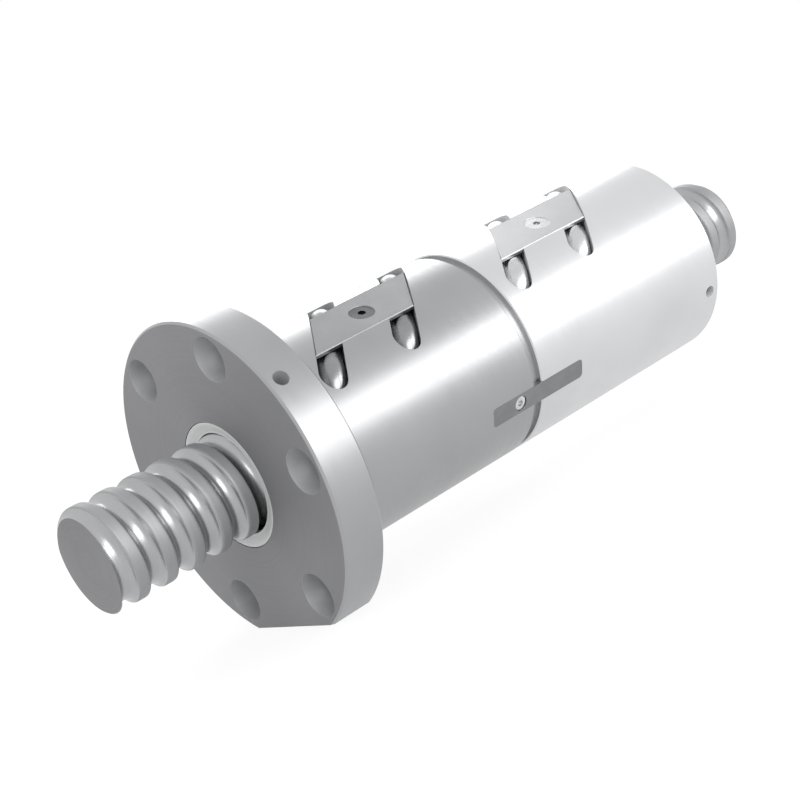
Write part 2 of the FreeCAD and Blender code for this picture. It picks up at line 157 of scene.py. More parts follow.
def round_axis(tree: bpy.types.NodeTree) -> bpy.types.NodeSocket:
    """Direction round the screw axis at each point, for the stretch of the reflections.

    Args:
        tree: Material's node tree.

    Returns:
        Vector socket in world directions.
    """
    place = add_node(tree, "ShaderNodeTexCoord").outputs["Object"]
    split = add_node(tree, "ShaderNodeSeparateXYZ", inputs={0: place}).outputs
    flipped = maths(tree, "MULTIPLY", split["Z"], -1.0)
    along = add_node(tree, "ShaderNodeCombineXYZ", inputs={1: flipped, 2: split["Y"]})
    unit = add_node(tree, "ShaderNodeVectorMath", {"operation": "NORMALIZE"}, {0: along.outputs[0]})
    turned = add_node(
        tree, "ShaderNodeVectorTransform",
        {"vector_type": "VECTOR", "convert_from": "OBJECT", "convert_to": "WORLD"}, {0: unit.outputs[0]},
    )
    return turned.outputs[0]


def pattern_place(tree: bpy.types.NodeTree, lay: Lay) -> bpy.types.NodeSocket:
    """Coordinates whose pattern stretches in the direction of the tool marks.

    Args:
        tree: Material's node tree.
        lay: Direction of the marks.

    Returns:
        Vector socket to sample a texture with.
    """
    place = add_node(tree, "ShaderNodeTexCoord").outputs["Object"]
    if lay is Lay.NONE:
        return place
    split = add_node(tree, "ShaderNodeSeparateXYZ", inputs={0: place}).outputs
    across = add_node(tree, "ShaderNodeCombineXYZ", inputs={1: split["Y"], 2: split["Z"]}).outputs[0]
    if lay is Lay.ALONG_AXIS:
        return across
    radius = add_node(tree, "ShaderNodeVectorMath", {"operation": "LENGTH"}, {0: across})
    joined = add_node(tree, "ShaderNodeCombineXYZ", inputs={0: split["X"], 1: radius.outputs["Value"]})
    return joined.outputs[0]


@dataclass(frozen=True)
class SteelFinish:
    """A machined, drawn or stamped steel surface.

    The lines are the marks of the wheel or tool, and the blotches are the uneven oil film on it.
    Marks round the axis stretch a reflection along it. A metallic value below one mixes in a diffuse part:
    on the milled walls that is painted light, which lifts the shade in pockets and counterbores, and on
    faced, rolled and turned faces it makes them matt.
    """

    name: str
    colour: str
    film_colour: str
    roughness: float
    roughness_spread: float
    line_mm: float
    line_height_mm: float
    blotch_mm: float
    lay: Lay = Lay.NONE
    stretch: float = 0.0
    metallic: float = 1.0

    def build(self) -> bpy.types.Material:
        """Make the material.

        Returns:
            The material, its patterns sampled in Object coordinates.
        """
        material, tree, shader = new_material(self.name)
        shader.inputs["Metallic"].default_value = self.metallic
        place = add_node(tree, "ShaderNodeTexCoord").outputs["Object"]
        blotches = add_node(
            tree, "ShaderNodeTexNoise",
            inputs={"Vector": place, "Scale": 1 / (self.blotch_mm * MM), "Detail": FILM_DETAIL},
        )
        marks_place = pattern_place(tree, self.lay)
        lines = add_node(
            tree, "ShaderNodeTexNoise",
            inputs={"Vector": marks_place, "Scale": 1 / (self.line_mm * MM), "Detail": LINE_DETAIL},
        )
        film = add_node(
            tree, "ShaderNodeMapRange",
            inputs={"Value": blotches.outputs["Fac"], "From Min": FILM_START, "From Max": FILM_FULL},
        )
        # A colour mix has its factor and its two colours at 0, 6 and 7, and its result at 2.
        colour = add_node(
            tree, "ShaderNodeMix", {"data_type": "RGBA"},
            {0: film.outputs[0], 6: linear(self.colour), 7: linear(self.film_colour)},
        )
        roughness = add_node(tree, "ShaderNodeMapRange", inputs={
            "Value": lines.outputs["Fac"], "From Min": LINE_LOW, "From Max": LINE_HIGH,
            "To Min": self.roughness - self.roughness_spread,
            "To Max": self.roughness + self.roughness_spread,
        })
        bump = add_node(
            tree, "ShaderNodeBump",
            inputs={"Height": lines.outputs["Fac"], "Distance": self.line_height_mm * MM, "Strength": 1.0},
        )
        if self.stretch:
            shader.inputs["Anisotropic"].default_value = self.stretch
            tree.links.new(round_axis(tree), shader.inputs["Tangent"])
        tree.links.new(colour.outputs[2], shader.inputs["Base Color"])
        tree.links.new(roughness.outputs[0], shader.inputs["Roughness"])
        tree.links.new(bump.outputs[0], shader.inputs["Normal"])
        return material


@dataclass(frozen=True)
class MouldedPolymer:
    """Injection moulded polymer with a fine eroded mould texture."""

    name: str
    colour: str
    roughness: float
    roughness_spread: float
    grain_mm: float
    grain_height_mm: float

    def build(self) -> bpy.types.Material:
        """Make the material.

        Returns:
            The material, its grain sampled in Object coordinates.
        """
        material, tree, shader = new_material(self.name)
        shader.inputs["Base Color"].default_value = linear(self.colour)
        place = add_node(tree, "ShaderNodeTexCoord").outputs["Object"]
        grain = add_node(
            tree, "ShaderNodeTexNoise", inputs={"Vector": place, "Scale": 1 / (self.grain_mm * MM)}
        ).outputs["Fac"]
        gloss = add_node(tree, "ShaderNodeMapRange", inputs={
            "Value": grain,
            "To Min": self.roughness - self.roughness_spread,
            "To Max": self.roughness + self.roughness_spread,
        })
        bump = add_node(
            tree, "ShaderNodeBump", inputs={"Height": grain, "Distance": self.grain_height_mm * MM}
        )
        tree.links.new(gloss.outputs[0], shader.inputs["Roughness"])
        tree.links.new(bump.outputs[0], shader.inputs["Normal"])
        return material


# Real tool marks and sheet grain are about 0.05 mm apart. They are drawn at 0.5 mm or more, so that
# they show.
# Satin grinding: wide soft bands of light along the body. The front nut is painted darker and the rear nut
# lighter: painted shade and painted light on one ground steel.
GROUND_FRONT_PAINTED_SHADE = SteelFinish(
    "bearing_steel_ground_satin", "#AAABAC", "#A3A4A5", roughness=0.34, roughness_spread=0.03,
    line_mm=0.7, line_height_mm=0.0006, blotch_mm=45, lay=Lay.ROUND_AXIS,
)
GROUND_REAR_PAINTED_LIGHT = SteelFinish(
    "bearing_steel_ground_painted_light", "#D7D8D9", "#D0D1D2", roughness=0.34, roughness_spread=0.03,
    line_mm=0.7, line_height_mm=0.0006, blotch_mm=45, lay=Lay.ROUND_AXIS,
)
# Facing cuts round the axis: one even dull grey that hardly mirrors the screw.
TURNED_FACE = SteelFinish(
    "bearing_steel_face_turned", "#959597", "#8F8F91", roughness=0.66, roughness_spread=0.04,
    line_mm=0.8, line_height_mm=0.0008, blotch_mm=45, lay=Lay.ROUND_AXIS, stretch=0.6, metallic=0.6,
)
# Milled walls: flat and matt. Their pale colour and low metallic value are painted light, which lifts the
# shade deep in pockets and counterbores. The rear copy is painted paler still.
MILLED_FRONT_PAINTED_LIGHT = SteelFinish(
    "bearing_steel_milled", "#C0C1C2", "#B8B9BA", roughness=0.6, roughness_spread=0.05,
    line_mm=0.6, line_height_mm=0.0008, blotch_mm=15, metallic=0.4,
)
MILLED_REAR_PAINTED_LIGHT = SteelFinish(
    "bearing_steel_milled_rear_painted_light", "#DADBDC", "#D2D3D4", roughness=0.6, roughness_spread=0.05,
    line_mm=0.6, line_height_mm=0.0008, blotch_mm=15, metallic=0.4,
)
# Rolled skin on the lands: matt grey without a sharp reflection.
ROLLED_LAND = SteelFinish(
    "screw_steel_rolled", "#A1A2A3", "#979899", roughness=0.56, roughness_spread=0.05,
    line_mm=0.8, line_height_mm=0.0008, blotch_mm=20, lay=Lay.ROUND_AXIS, metallic=0.75,
)
# Track polished by rolling: the bright streak that follows the groove.
ROLLED_TRACK = SteelFinish(
    "screw_steel_track_polished", "#B1B2B3", "#A9AAAB", roughness=0.3, roughness_spread=0.04,
    line_mm=0.8, line_height_mm=0.0006, blotch_mm=20, lay=Lay.ROUND_AXIS,
)
# Faced end of the screw: darker and flat, with faint turning rings.
FACED_END = SteelFinish(
    "screw_steel_end_faced", "#8C8C8E", "#848486", roughness=0.5, roughness_spread=0.05,
    line_mm=0.8, line_height_mm=0.0008, blotch_mm=30, lay=Lay.ROUND_AXIS, metallic=0.8,
)
# Stamped sheet: a smooth even plate with no lines. The front plate is painted darker and the rear plate
# paler: painted shade and painted light on one sheet steel.
STAMPED_FRONT_PAINTED_SHADE = SteelFinish(
    "sheet_steel_stamped_painted_shade", "#8F9091", "#898A8B", roughness=0.36, roughness_spread=0.04,
    line_mm=0.9, line_height_mm=0.0006, blotch_mm=12,
)
STAMPED_REAR_PAINTED_LIGHT = SteelFinish(
    "sheet_steel_stamped_painted_light", "#B6B7B8", "#B1B2B3", roughness=0.36, roughness_spread=0.04,
    line_mm=0.9, line_height_mm=0.0006, blotch_mm=12,
)
# Drawn tube: a smooth bend with one clear highlight. The front tubes are painted darker, which is painted
# shade in their slots, and the rear tubes paler, which is painted light.
TUBE_FRONT_PAINTED_SHADE = SteelFinish(
    "tube_steel_drawn_painted_shade", "#979899", "#8D8E8F", roughness=0.3, roughness_spread=0.05,
    line_mm=0.6, line_height_mm=0.0006, blotch_mm=8,
)
TUBE_REAR_PAINTED_LIGHT = SteelFinish(
    "tube_steel_drawn_painted_light", "#CDCECF", "#C3C4C5", roughness=0.3, roughness_spread=0.05,
    line_mm=0.6, line_height_mm=0.0006, blotch_mm=8,
)
# Cold drawn key steel: duller and darker than the ground body, so that the key stands out on it.
KEY_STEEL = SteelFinish(
    "key_steel_cold_drawn", "#8D8E8F", "#848586", roughness=0.42, roughness_spread=0.04,
    line_mm=0.5, line_height_mm=0.0008, blotch_mm=10, lay=Lay.ALONG_AXIS,
)
# Ground spacer: a mid grey line deep in the joint.
SPACER_STEEL = SteelFinish(
    "spacer_steel_ground", "#A7A8A9", "#9D9E9F", roughness=0.36, roughness_spread=0.04,
    line_mm=0.5, line_height_mm=0.0006, blotch_mm=20, lay=Lay.ROUND_AXIS,
)
# Blackened screws: dark grey with a weak sheen.
BLACKENED = SteelFinish(
    "fastener_steel_blackened", "#626364", "#545556", roughness=0.34, roughness_spread=0.06,
    line_mm=0.5, line_height_mm=0.0008, blotch_mm=4,
)
# Zinc plating: a pale screw head that nearly melts into the rear plate.
PLATED = SteelFinish(
    "fastener_steel_zinc_plated", "#D8D9DA", "#CACBCC", roughness=0.22, roughness_spread=0.05,
    line_mm=0.5, line_height_mm=0.0005, blotch_mm=4,
)
# Lapped balls: small mirrors.
LAPPED_BALL = SteelFinish(
    "ball_steel_lapped", "#D2D3D4", "#CDCDCF", roughness=0.07, roughness_spread=0.02,
    line_mm=0.5, line_height_mm=0.0001, blotch_mm=6,
)
# Moulded polymer: pale and soft beside the steel. Its real grain of about 0.1 mm is drawn coarser.
WIPER_POLYMER = MouldedPolymer(
    "wiper_polymer_moulded", "#D9DADA", roughness=0.5, roughness_spread=0.06,
    grain_mm=0.6, grain_height_mm=0.01,
)


def weld(mesh: bpy.types.Mesh) -> None:
    """Merge a mesh's doubled vertices in place, and drop the normals that it came with.

    Args:
        mesh: Mesh of a CAD node.
    """
    for name in ("custom_normal", "sharp_edge", "sharp_face"):
        if name in mesh.attributes:
            mesh.attributes.remove(mesh.attributes[name])
    work = bmesh.new()
    work.from_mesh(mesh)
    bmesh.ops.remove_doubles(work, verts=work.verts, dist=SAME_POINT)
    bmesh.ops.dissolve_degenerate(work, edges=work.edges, dist=SAME_POINT)
    work.to_mesh(mesh)
    work.free()


def vectors_of(items: Any, attribute: str) -> np.ndarray:
    """Read a vector of every item of a mesh.

    Args:
        items: Vertices, corner normals or faces.
        attribute: Name of the vector.

    Returns:
        One row of three numbers per item.
    """
    flat = np.empty(len(items) * 3, np.float32)
    items.foreach_get(attribute, flat)
    return flat.reshape(-1, 3).astype(float)


def integers_of(items: Any, attribute: str) -> np.ndarray:
    """Read a whole number of every item of a mesh.

    Args:
        items: Corners or faces.
        attribute: Name of the number.

    Returns:
        One number per item.
    """
    flat = np.empty(len(items), np.int64)
    items.foreach_get(attribute, flat)
    return flat


def shade_turned(
    mesh: bpy.types.Mesh, radii_mm: Sequence[float] = (), sharp_degrees: float = 28.0
) -> None:
    """Shade a machined mesh smooth, with the exact normals of faces turned about the X axis.

    Args:
        mesh: Welded mesh.
        radii_mm: Radii of the turned faces. The rest of the mesh is only shaded smooth.
        sharp_degrees: Edges that turn more than this stay sharp.
    """
    mesh.shade_smooth()
    mesh.set_sharp_from_angle(angle=math.radians(sharp_degrees))
    if not radii_mm:
        return
    normals = vectors_of(mesh.corner_normals, "vector")
    corners = vectors_of(mesh.vertices, "co")[integers_of(mesh.loops, "vertex_index")]
    totals = integers_of(mesh.polygons, "loop_total")
    face_of = np.repeat(np.arange(len(totals)), totals)
    face_normals = vectors_of(mesh.polygons, "normal")
    centres = vectors_of(mesh.polygons, "center")
    centre_radius = np.linalg.norm(centres[:, 1:], axis=1)
    out = centres[:, 1:] / np.maximum(centre_radius, NOT_ZERO)[:, None]
    radial = (face_normals[:, 1:] * out).sum(1)
    tangential = face_normals[:, 2] * out[:, 0] - face_normals[:, 1] * out[:, 1]
    corner_radius = np.linalg.norm(corners[:, 1:], axis=1)
    corner_out = corners[:, 1:] / np.maximum(corner_radius, NOT_ZERO)[:, None]
    # The corners of a turned face lie on its slope, in the plane through the axis.
    slope = face_normals[:, 0][face_of] * (corners[:, 0] - centres[:, 0][face_of])
    misfit = np.abs(slope + radial[face_of] * (corner_radius - centre_radius[face_of]))
    worst = np.zeros(len(totals))
    np.maximum.at(worst, face_of, misfit)
    nearest = np.abs(centre_radius[:, None] - np.array(radii_mm) * MM).min(axis=1)
    points_out = (np.abs(tangential) < TURNED_SIDEWAYS) & (np.abs(radial) > TURNED_OUTWARDS)
    turned = points_out & (worst < TURNED_FIT_MM * MM) & (nearest < TURNED_NEAR_MM * MM)
    exact = np.column_stack([face_normals[:, 0][face_of], corner_out * radial[face_of][:, None]])
    exact /= np.maximum(np.linalg.norm(exact, axis=1), NOT_ZERO)[:, None]
    mesh.normals_split_custom_set(np.where(turned[face_of][:, None], exact, normals).tolist())


def dress_node(
    node: str,
    name: str,
    body: Body,
    material: bpy.types.Material,
    radii_mm: Sequence[float] = (),
) -> bpy.types.Object:
    """Stand a welded, smooth shaded copy in for a CAD node.

    Args:
        node: CAD node's name.
        name: New piece's name.
        body: Body that it rides on.
        material: Finish.
        radii_mm: Radii of its faces that are turned about the screw axis.

    Returns:
        The new piece.
    """
    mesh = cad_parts[node].data.copy()
    mesh.name = name
    weld(mesh)
    shade_turned(mesh, radii_mm)
    mesh.materials.clear()
    mesh.materials.append(material)
    piece = bpy.data.objects.new(name, mesh)
    bpy.context.scene.collection.objects.link(piece)
    return place_piece(piece, body, node)


def place_piece(piece: bpy.types.Object, body: Body, node: str) -> bpy.types.Object:
    """Ride a finished piece on its body and hide the CAD node that it replaces.

    Args:
        piece: Linked object at the origin, unturned and unscaled.
        body: Body that it rides on.
        node: CAD node that it replaces.

    Returns:
        The same piece.
    """
    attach(piece, body.value)
    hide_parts(node)
    LOG.info("%s: %d faces on %s", piece.name, len(piece.data.polygons), body.value)
    return piece


def poly_curve(name: str, points: Sequence[Vector], cyclic: bool = False) -> bpy.types.Object:
    """Make a curve object of one straight run between each two points.

    Args:
        name: Object's name.
        points: Points that it goes through.
        cyclic: Whether it closes.

    Returns:
        The curve object, linked to the scene.
    """
    curve = bpy.data.curves.new(name, "CURVE")
    curve.dimensions = "3D"
    spline = curve.splines.new("POLY")
    spline.points.add(len(points) - 1)
    for target, point in zip(spline.points, points):
        target.co = (*point, 1.0)
    spline.use_cyclic_u = cyclic
    thing = bpy.data.objects.new(name, curve)
    bpy.context.scene.collection.objects.link(thing)
    return thing


def node_group(name: str, sizes: dict[str, str]) -> bpy.types.NodeTree:
    """Start a geometry tree with its geometry sockets and named inputs.

    Args:
        name: Tree's name.
        sizes: Kind of value by input name. The values come with each use of the tree.

    Returns:
        The empty tree.
    """
    tree = bpy.data.node_groups.new(name, "GeometryNodeTree")
    tree.interface.new_socket("Geometry", in_out="INPUT", socket_type="NodeSocketGeometry")
    for label, kind in sizes.items():
        tree.interface.new_socket(label, in_out="INPUT", socket_type="NodeSocket" + kind)
    tree.interface.new_socket("Geometry", in_out="OUTPUT", socket_type="NodeSocketGeometry")
    return tree


def close_group(
    tree: bpy.types.NodeTree, geometry: bpy.types.NodeSocket, material: bpy.types.NodeSocket
) -> None:
    """Make a tree's geometry real, dress it and hand it out.

    Args:
        tree: Geometry tree.
        geometry: Socket of the finished shape.
        material: Socket of its material.
    """
    real = add_node(tree, "GeometryNodeRealizeInstances", inputs={0: geometry})
    dressed = add_node(
        tree, "GeometryNodeSetMaterial", inputs={"Geometry": real.outputs[0], "Material": material}
    )
    add_node(tree, "NodeGroupOutput", inputs={0: dressed.outputs[0]})


def realised(
    thing: bpy.types.Object, tree: bpy.types.NodeTree, values: dict[str, Any], name: str
) -> bpy.types.Object:
    """Run a geometry tree on an object and keep its result as a plain mesh.

    Args:
        thing: Curve or mesh object that the tree works on. It is removed.
        tree: Geometry tree.
        values: Values of the tree's named inputs.
        name: Name of the new object.

    Returns:
        A mesh object at the origin, linked to the scene.
    """
    modifier = thing.modifiers.new(tree.name, "NODES")
    modifier.node_group = tree
    for item in tree.interface.items_tree:
        if item.item_type == "SOCKET" and item.in_out == "INPUT" and item.name in values:
            modifier[item.identifier] = values[item.name]
    bpy.context.view_layer.update()
    graph = bpy.context.evaluated_depsgraph_get()
    mesh = bpy.data.meshes.new_from_object(thing.evaluated_get(graph))
    mesh.name = name
    bpy.data.objects.remove(thing)
    piece = bpy.data.objects.new(name, mesh)
    bpy.context.scene.collection.objects.link(piece)
    return piece


@dataclass
class BallTrack:
    """The helix that the screw, the nuts and the balls share, in millimetres and degrees."""

    lead: float = 12.0
    ball_circle_r: float = 20.8
    track_r: float = 3.732
    first_leg_x: float = 19.4
    pocket_angle: float = 120.0

    def angle(self, x: float) -> float:
        """Angle of the track's centre at an axial place, in radians."""
        return math.radians(self.pocket_angle + 90 + 360 * (x - self.first_leg_x) / self.lead)

    def centre(self, x: float) -> Vector:
        """Point of the track's centre line, in metres."""
        angle = self.angle(x)
        return Vector((x, self.ball_circle_r * math.cos(angle), self.ball_circle_r * math.sin(angle))) * MM


@dataclass
class ScrewShaft:
    """Rolled screw: one lead of profile, swept round the axis and trimmed to the bar's ends.

    The sweep starts `lead_in` leads before the bar's front end and ends `spare_turns` turns too late,
    so that both trims cut whole turns. The track's rounded edge is a curve that `edge_pull` bends.
    """

    track: BallTrack
    screw_r: float = 20.0
    edge_drop: float = 0.55
    edge_run: float = 1.3
    edge_pull: float = 0.12
    edge_steps: int = 6
    front_x: float = -79.5
    rear_x: float = 257.5
    end_chamfer: float = 0.6
    lead_in: float = 1.5
    spare_turns: int = 2
    profile_points: int = 41
    steps_per_turn: int = 64
    arc_points: int = 24
    sharp_degrees: float = 35.0
    end_facing: float = 0.9999

    def profile(self) -> list[Vector]:
        """Outline of one lead.

        Returns:
            Points as axial offset, zero and radius, in metres.
        """
        track = self.track
        edge_r = self.screw_r - self.edge_drop
        widest = math.acos((track.ball_circle_r - edge_r) / track.track_r)
        edge_z = track.track_r * math.sin(widest)
        start, end = Vector((edge_z + self.edge_run, 0, self.screw_r)), Vector((edge_z, 0, edge_r))
        control = Vector((edge_z + self.edge_run * self.edge_pull, 0, self.screw_r))
        half = [Vector((track.lead / 2, 0, self.screw_r)), start]
        for step in range(1, self.edge_steps):
            share = step / self.edge_steps
            half.append(start * (1 - share) ** 2 + control * (2 * share * (1 - share)) + end * share ** 2)
        for step in range(self.arc_points // 2):
            angle = widest * (1 - step / (self.arc_points / 2))
            radius = track.ball_circle_r - track.track_r * math.cos(angle)
            half.append(Vector((track.track_r * math.sin(angle), 0, radius)))
        bottom = Vector((0, 0, track.ball_circle_r - track.track_r))
        mirrored = [Vector((-point.x, 0, point.z)) for point in half]
        return [point * MM for point in [*mirrored, bottom, *reversed(half)]]

    @staticmethod
    def tree() -> bpy.types.NodeTree:
        """Geometry tree that winds the profile curve round the X axis.

        Returns:
            The tree. A grid of it has one row per step of the turn and one column per profile point.
        """
        tree = node_group("thread_sweep", {
            "Lead": "Float",
            "Turns": "Int",
            "Steps per turn": "Int",
            "Profile points": "Int",
            "Start angle": "Float",
            "Start x": "Float",
            "Material": "Material",
        })
        given = add_node(tree, "NodeGroupInput").outputs
        rows = maths(tree, "MULTIPLY_ADD", given["Turns"], given["Steps per turn"], 1.0)
        grid = add_node(tree, "GeometryNodeMeshGrid", inputs={
            "Size X": 1.0, "Size Y": 1.0, "Vertices X": given["Profile points"], "Vertices Y": rows,
        })
        position = add_node(tree, "GeometryNodeInputPosition").outputs[0]
        place = add_node(tree, "ShaderNodeSeparateXYZ", inputs={0: position}).outputs
        # The grid reaches from -0.5 to 0.5, and half more makes that a share of the whole.
        share = maths(tree, "ADD", place["X"], 0.5)
        along = maths(tree, "ADD", place["Y"], 0.5)
        sample = add_node(
            tree, "GeometryNodeSampleCurve", {"mode": "FACTOR", "use_all_curves": True},
            {"Curves": given["Geometry"], "Factor": share},
        )
        point = add_node(tree, "ShaderNodeSeparateXYZ", inputs={0: sample.outputs["Position"]}).outputs
        turned = maths(tree, "MULTIPLY", along, given["Turns"])
        angle = maths(tree, "MULTIPLY_ADD", turned, math.tau, given["Start angle"])
        advance = maths(tree, "MULTIPLY_ADD", turned, given["Lead"], given["Start x"])
        wound = add_node(tree, "ShaderNodeCombineXYZ", inputs={
            0: maths(tree, "ADD", advance, point["X"]),
            1: maths(tree, "MULTIPLY", point["Z"], maths(tree, "COSINE", angle)),
            2: maths(tree, "MULTIPLY", point["Z"], maths(tree, "SINE", angle)),
        })
        moved = add_node(
            tree, "GeometryNodeSetPosition",
            inputs={"Geometry": grid.outputs["Mesh"], "Position": wound.outputs[0]},
        )
        close_group(tree, moved.outputs[0], given["Material"])
        return tree

    def trim(self, mesh: bpy.types.Mesh) -> None:
        """Cut the wound skin to the bar's ends, chamfer and close them.

        Args:
            mesh: Skin that reaches past both ends.
        """
        work = bmesh.new()
        work.from_mesh(mesh)
        bmesh.ops.remove_doubles(work, verts=work.verts, dist=SAME_POINT)
        end_r = (self.screw_r - self.end_chamfer) * MM
        for end_x, sign in ((self.front_x, -1.0), (self.rear_x, 1.0)):
            for inset in (self.end_chamfer, 0.0):
                bmesh.ops.bisect_plane(
                    work, geom=[*work.verts, *work.edges, *work.faces], dist=ON_CUT,
                    plane_co=Vector((end_x - sign * inset, 0, 0)) * MM, plane_no=(sign, 0, 0),
                    clear_outer=inset == 0.0,
                )
            for vertex in work.verts:
                limit = end_r + max(0.0, (end_x * MM - vertex.co.x) * sign)
                radius = math.hypot(vertex.co.y, vertex.co.z)
                if radius > limit:
                    vertex.co.y *= limit / radius
                    vertex.co.z *= limit / radius
        bmesh.ops.remove_doubles(work, verts=work.verts, dist=2 * SAME_POINT)
        for end_x in (self.front_x, self.rear_x):
            rim = [
                edge for edge in work.edges
                if edge.is_boundary
                and all(abs(vertex.co.x - end_x * MM) < IN_END_PLANE for vertex in edge.verts)
            ]
            filled = bmesh.ops.triangle_fill(work, edges=rim, use_beauty=True)
            LOG.info("screw end at %.1f mm: %d rim edges, %d new", end_x, len(rim), len(filled["geom"]))
        bmesh.ops.recalc_face_normals(work, faces=work.faces)
        work.to_mesh(mesh)
        work.free()

    def dress(self, mesh: bpy.types.Mesh, land: bpy.types.Material) -> None:
        """Give the lands, the end faces and the track their finishes, and shade them.

        Args:
            mesh: Trimmed screw.
            land: Finish of the lands.
        """
        mesh.materials.clear()
        for material in (land, FACED_END.build(), ROLLED_TRACK.build()):
            mesh.materials.append(material)
        track_edge = (self.screw_r - self.edge_drop) * MM
        for face in mesh.polygons:
            if abs(face.normal.x) > self.end_facing:
                face.material_index = 1
            elif math.hypot(face.center.y, face.center.z) < track_edge:
                face.material_index = 2
        mesh.shade_smooth()
        mesh.set_sharp_from_angle(angle=math.radians(self.sharp_degrees))

    def build(self) -> None:
        """Make the screw and stand it in for the CAD shaft."""
        track = self.track
        start_x = self.front_x - self.lead_in * track.lead
        land = ROLLED_LAND.build()
        curve = poly_curve("screw_profile", self.profile())
        piece = realised(curve, self.tree(), {
            "Lead": track.lead * MM,
            "Turns": math.ceil((self.rear_x - start_x) / track.lead) + self.spare_turns,
            "Steps per turn": self.steps_per_turn,
            "Profile points": self.profile_points,
            "Start angle": track.angle(start_x),
            "Start x": start_x * MM,
            "Material": land,
        }, "screw")
        self.trim(piece.data)
        self.dress(piece.data, land)
        place_piece(piece, Body.SCREW, "screw_shaft")


@dataclass
class ReturnPath:
    """Centre line of a return tube, in millimetres, with its height along the pocket's direction."""

    track: BallTrack
    crossing_height: float = 35.1
    leg_rise_x: float = 30.0
    bend_r: float = 9.0
    bend_points: int = 8

    def points(self, leg_x: float) -> list[Vector]:
        """Points from the first leg's foot to the last leg's foot.

        Args:
            leg_x: Axial place of the first leg, in millimetres.

        Returns:
            Points in metres.
        """
        side = self.track.ball_circle_r
        corners = [
            Vector((leg_x, -side, 0)),
            Vector((leg_x, -side, self.crossing_height)),
            Vector((leg_x + self.leg_rise_x, side, self.crossing_height)),
            Vector((leg_x + self.leg_rise_x, side, 0)),
        ]
        line = [corners[0]]
        for before, corner, after in zip(corners, corners[1:], corners[2:]):
            into, out = (corner - before).normalized(), (after - corner).normalized()
            turn = into.angle(out)
            reach = self.bend_r * math.tan(turn / 2)
            inward = (out - into).normalized()
            centre = corner + inward * (self.bend_r / math.cos(turn / 2))
            start = corner - into * reach - centre
            axis = into.cross(out)
            for step in range(self.bend_points + 1):
                line.append(centre + Matrix.Rotation(turn * step / self.bend_points, 3, axis) @ start)
        line.append(corners[-1])
        raise_it = Matrix.Rotation(math.radians(self.track.pocket_angle - 90), 3, "X")
        return [raise_it @ point * MM for point in line]


@dataclass
class BallCircuit:
    """Balls of one closed circuit, set along the loaded track and back through the tube."""

    track: BallTrack
    path: ReturnPath
    leg_x: float
    ball_r: float = 3.572
    balls: int = 60
    ball_subdivisions: int = 3
    track_points: int = 90

    def line(self) -> list[Vector]:
        """Closed centre line of the circuit.

        Returns:
            Points in metres, the loaded track first.
        """
        run = self.path.leg_rise_x / self.track_points
        loaded = [self.track.centre(self.leg_x + run * step) for step in range(self.track_points)]
        return loaded + list(reversed(self.path.points(self.leg_x)))[:-1]

    @staticmethod
    def tree() -> bpy.types.NodeTree:
        """Geometry tree that sets balls evenly along a closed curve.

        Returns:
            The tree, which all circuits share.
        """
        tree = node_group("balls_along_circuit", {
            "Balls": "Int", "Ball radius": "Float", "Ball subdivisions": "Int", "Material": "Material",
        })
        given = add_node(tree, "NodeGroupInput").outputs
        evenly = add_node(
            tree, "GeometryNodeResampleCurve",
            inputs={"Curve": given["Geometry"], "Count": given["Balls"]},
        )
        ball = add_node(
            tree, "GeometryNodeMeshIcoSphere",
            inputs={"Radius": given["Ball radius"], "Subdivisions": given["Ball subdivisions"]},
        )
        smooth = add_node(tree, "GeometryNodeSetShadeSmooth", inputs={"Geometry": ball.outputs["Mesh"]})
        copies = add_node(
            tree, "GeometryNodeInstanceOnPoints",
            inputs={"Points": evenly.outputs[0], "Instance": smooth.outputs[0]},
        )
        close_group(tree, copies.outputs[0], given["Material"])
        return tree

    def build(self, node: str, tree: bpy.types.NodeTree, material: bpy.types.Material) -> None:
        """Make the balls and stand them in for a CAD circuit.

        Args:
            node: CAD node of the circuit.
            tree: Geometry tree of the balls.
            material: Finish of the balls.
        """
        curve = poly_curve(node + "_line", self.line(), cyclic=True)
        piece = realised(curve, tree, {
            "Balls": self.balls,
            "Ball radius": self.ball_r * MM,
            "Ball subdivisions": self.ball_subdivisions,
            "Material": material,
        }, node.replace("circuit", "train"))
        place_piece(piece, Body.NUTS, node)


